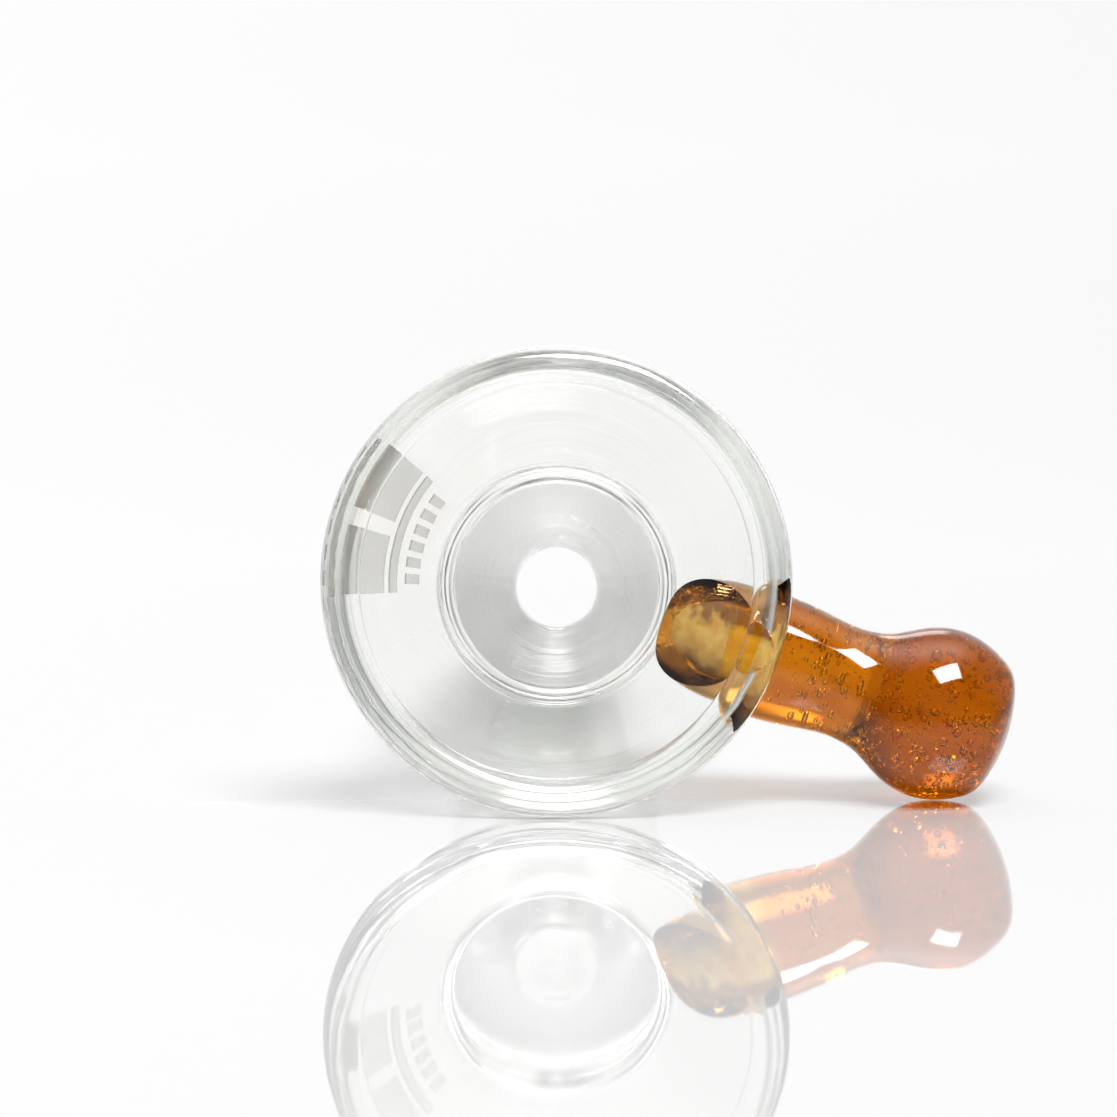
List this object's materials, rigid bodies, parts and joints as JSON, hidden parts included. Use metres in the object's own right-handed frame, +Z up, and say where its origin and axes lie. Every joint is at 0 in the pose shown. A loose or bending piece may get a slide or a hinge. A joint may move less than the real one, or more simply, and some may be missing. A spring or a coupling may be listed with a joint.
{
  "type": "glass funnel bowl with ground joint",
  "caption": "Clear heavy-wall glass funnel bowl with a pinched draw hole, a tapered ground male joint behind and an amber seeded-glass side handle with a round knob.",
  "frame": {"origin": "centre of the bounding box at its lowest level, the surface that the bowl lies on", "axes": "+Z up from that surface, -Y towards the viewer looking into the mouth, +Y towards the ground joint, +X towards the handle"},
  "size_m": [0.057, 0.0694, 0.0379],
  "materials": {
    "clear_glass": "clear fire-polished borosilicate",
    "ground_glass": "fine ground taper",
    "amber_glass": "polished amber with small seed bubbles",
    "frosted_glass": "sandblasted frosted pattern"
  },
  "bodies": {
    "root": {"rim_lip": "clear_glass", "funnel_wall": "clear_glass", "throat": "clear_glass", "neck": "clear_glass", "ground_joint": "ground_glass", "joint_tip": "clear_glass", "handle_weld": "amber_glass", "handle_stem": "amber_glass", "handle_knob": "amber_glass", "frosted_mark": "frosted_glass"}
  },
  "joints": []
}
